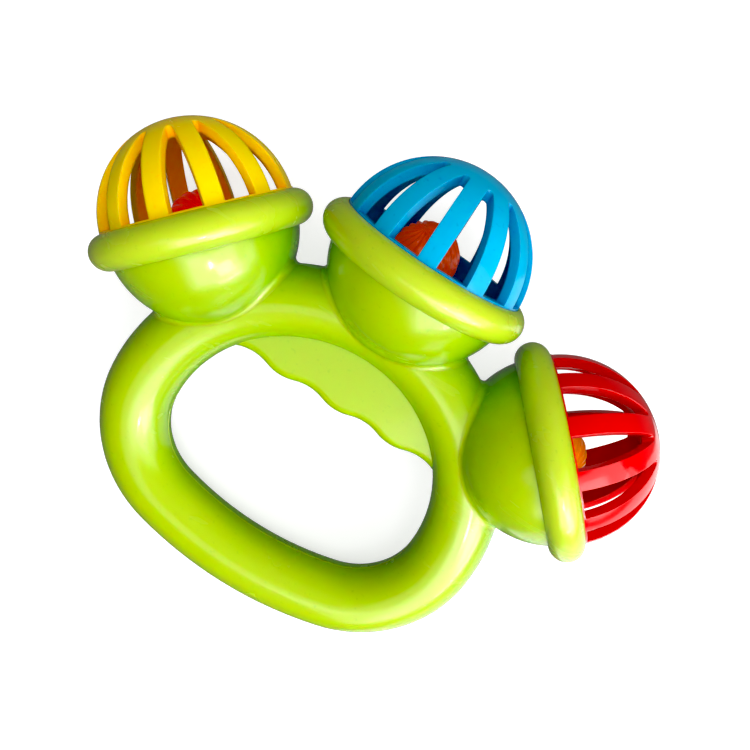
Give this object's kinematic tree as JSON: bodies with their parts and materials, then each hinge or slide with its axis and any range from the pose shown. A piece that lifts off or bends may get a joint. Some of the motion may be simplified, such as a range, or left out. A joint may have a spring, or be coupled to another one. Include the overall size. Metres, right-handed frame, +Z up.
{
  "type": "baby rattle",
  "caption": "Hand rattle with a hollow oval grip ring, a wavy finger web and ribbed ball cages held in cups on its arch; a loose ball rattles in each cage.",
  "frame": {"origin": "centre of the footprint, on the surface that the rattle lies on with its back down", "axes": "+X across the rattle, from the cup on the left to the cup on the right as seen from the front; +Y from the grip bar towards the top cup; +Z up, out of the front face"},
  "size_m": [0.151, 0.1246, 0.0586],
  "materials": {
    "green_plastic": "gloss",
    "yellow_plastic": "gloss",
    "blue_plastic": "gloss",
    "red_plastic": "gloss",
    "left_ball_plastic": "gloss",
    "top_ball_plastic": "gloss",
    "right_ball_plastic": "gloss"
  },
  "bodies": {
    "rattle": {"handle_front_shell": "green_plastic", "handle_back_shell": "green_plastic", "left_cup": "green_plastic", "top_cup": "green_plastic", "right_cup": "green_plastic", "left_rim": "green_plastic", "top_rim": "green_plastic", "right_rim": "green_plastic", "left_cage": "yellow_plastic", "top_cage": "blue_plastic", "right_cage": "red_plastic", "left_cage_floor": "yellow_plastic", "top_cage_floor": "blue_plastic", "right_cage_floor": "red_plastic"},
    "left_ball": {"left_ball_upper_half": "left_ball_plastic", "left_ball_lower_half": "left_ball_plastic"},
    "top_ball": {"top_ball_upper_half": "top_ball_plastic", "top_ball_lower_half": "top_ball_plastic"},
    "right_ball": {"right_ball_upper_half": "right_ball_plastic", "right_ball_lower_half": "right_ball_plastic"}
  },
  "joints": [
    {"name": "left_ball_travel", "type": "slide", "parent": "rattle", "child": "left_ball", "axis": [0, -0.2492, 0.9685], "range_m": [0, 0.01956]},
    {"name": "top_ball_travel", "type": "slide", "parent": "rattle", "child": "top_ball", "axis": [0, -0.2492, 0.9685], "range_m": [0, 0.02059]},
    {"name": "right_ball_travel", "type": "slide", "parent": "rattle", "child": "right_ball", "axis": [0, -0.2492, 0.9685], "range_m": [0, 0.01838]}
  ]
}
